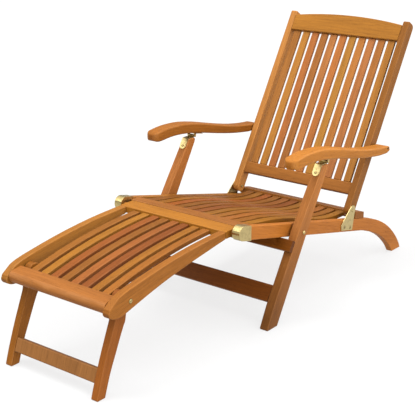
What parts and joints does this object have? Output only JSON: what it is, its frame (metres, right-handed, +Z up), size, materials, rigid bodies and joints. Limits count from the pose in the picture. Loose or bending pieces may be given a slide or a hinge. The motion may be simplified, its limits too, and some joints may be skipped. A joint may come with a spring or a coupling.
{
  "type": "folding deck chair",
  "caption": "Wooden steamer deck chair with a slatted seat and back, bent arms, curved rear tail legs and a hinged footrest on folding legs, joined by brass pivots.",
  "frame": {"origin": "centre of the chair's bounding box at floor level, in the symmetry plane", "axes": "+Z up, -Y towards the footrest and +Y towards the head end, +X towards the sitter's left hand"},
  "size_m": [0.585, 1.5305, 0.8244],
  "materials": {
    "wood_oak": "oiled orange-brown hardwood, satin",
    "wood_gold": "oiled golden hardwood, satin",
    "wood_red": "oiled red-brown hardwood, satin",
    "wood_rose": "oiled pinkish hardwood, satin",
    "brass": "brass plate, semi-gloss"
  },
  "bodies": {
    "seat": {"seat_rail_left": "wood_oak", "seat_rail_right": "wood_oak", "seat_front_cross_rail": "wood_rose", "seat_rear_cross_rail": "wood_oak", "seat_slat_01": "wood_oak", "seat_slat_02": "wood_gold", "seat_slat_03": "wood_red", "seat_slat_04": "wood_oak", "seat_slat_05": "wood_rose", "seat_slat_06": "wood_red", "seat_slat_07": "wood_gold", "seat_slat_08": "wood_oak", "seat_slat_09": "wood_rose", "seat_slat_10": "wood_oak", "seat_slat_11": "wood_gold", "rail_cap_left": "brass", "rail_cap_right": "brass", "back_plate_left": "brass", "back_plate_right": "brass", "leg_pivot_bolt_left": "brass", "leg_pivot_bolt_right": "brass", "footrest_hinge_rod": "wood_oak"},
    "footrest": {"footrest_rail_left": "wood_oak", "footrest_rail_right": "wood_oak", "footrest_front_rail": "wood_oak", "footrest_hinge_rail": "wood_gold", "footrest_slat_01": "wood_oak", "footrest_slat_02": "wood_gold", "footrest_slat_03": "wood_red", "footrest_slat_04": "wood_oak", "footrest_slat_05": "wood_rose", "footrest_slat_06": "wood_red", "footrest_slat_07": "wood_gold", "footrest_slat_08": "wood_oak"},
    "foot_legs": {"foot_leg_left": "wood_oak", "foot_leg_right": "wood_oak", "foot_leg_stretcher": "wood_red"},
    "main_legs": {"main_leg_left": "wood_rose", "main_leg_right": "wood_rose", "leg_stretcher": "wood_red", "leg_stop_bar": "wood_oak", "arm_hinge_strap_left": "brass", "arm_hinge_strap_right": "brass"},
    "arms": {"arm_left": "wood_oak", "arm_right": "wood_oak"},
    "back": {"back_post_left": "wood_oak", "back_post_right": "wood_oak", "back_bottom_rail": "wood_oak", "back_crest_rail": "wood_oak", "back_slat_01": "wood_oak", "back_slat_02": "wood_gold", "back_slat_03": "wood_red", "back_slat_04": "wood_oak", "back_slat_05": "wood_rose", "back_slat_06": "wood_red", "back_slat_07": "wood_gold", "back_slat_08": "wood_oak", "back_slat_09": "wood_rose", "back_slat_10": "wood_oak", "back_slat_11": "wood_gold"}
  },
  "joints": [
    {"name": "back_fold", "type": "hinge", "parent": "seat", "child": "back", "pos_m": [0, 0.4027, 0.2345], "axis": [1, 0, 0], "range_deg": [0, 102]},
    {"name": "main_leg_fold", "type": "hinge", "parent": "seat", "child": "main_legs", "pos_m": [0, 0.0482, 0.2645], "axis": [1, 0, 0], "range_deg": [0, 102]},
    {"name": "arm_fold", "type": "hinge", "parent": "main_legs", "child": "arms", "pos_m": [0, 0.1777, 0.4595], "axis": [1, 0, 0], "range_deg": [-102, 0]},
    {"name": "footrest_fold", "type": "hinge", "parent": "seat", "child": "footrest", "pos_m": [0, -0.2153, 0.3215], "axis": [1, 0, 0], "range_deg": [0, 90]},
    {"name": "foot_leg_fold", "type": "hinge", "parent": "footrest", "child": "foot_legs", "pos_m": [0, -0.6563, 0.257], "axis": [1, 0, 0], "range_deg": [0, 112]}
  ],
  "couplings": [
    {"joint": "main_leg_fold", "follows": "back_fold", "ratio": 1},
    {"joint": "arm_fold", "follows": "back_fold", "ratio": -1}
  ]
}
